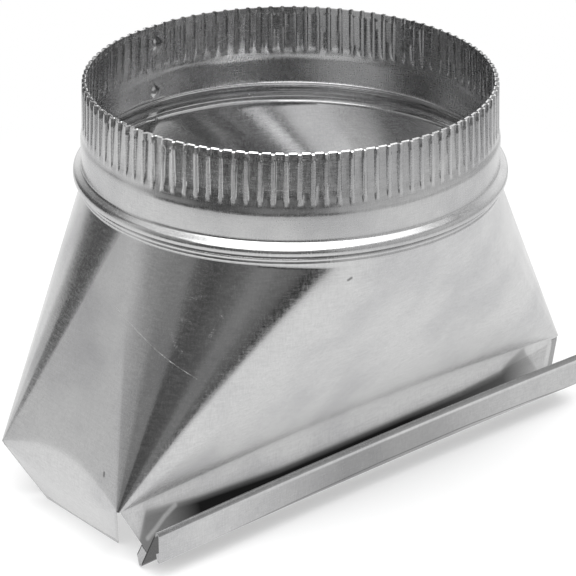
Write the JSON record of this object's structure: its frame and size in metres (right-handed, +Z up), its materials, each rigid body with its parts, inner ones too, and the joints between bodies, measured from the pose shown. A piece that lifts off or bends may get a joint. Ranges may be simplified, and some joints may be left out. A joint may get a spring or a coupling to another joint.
{
  "type": "register boot",
  "caption": "Sheet-metal stack boot: a rectangular stack end with a slip cleat rises and widens into a beaded, crimped round collar",
  "frame": {"origin": "bottom centre: under the middle of the rectangular stack end, on the level of the cleat's lower fold", "axes": "+X along the long side of the rectangle, +Y across it towards the lap seam, +Z up through the round collar"},
  "size_m": [0.254, 0.185, 0.172],
  "materials": {
    "body_sheet": "bare galvanised sheet, fine rolled grain, semi-bright",
    "collar_sheet": "bare galvanised sheet, fine rolled grain, crimped end",
    "cleat_sheet": "bare galvanised strip, dulled along its folds"
  },
  "bodies": {
    "root": {"transition_body": "body_sheet", "collar": "collar_sheet", "front_cleat": "cleat_sheet"}
  },
  "joints": []
}
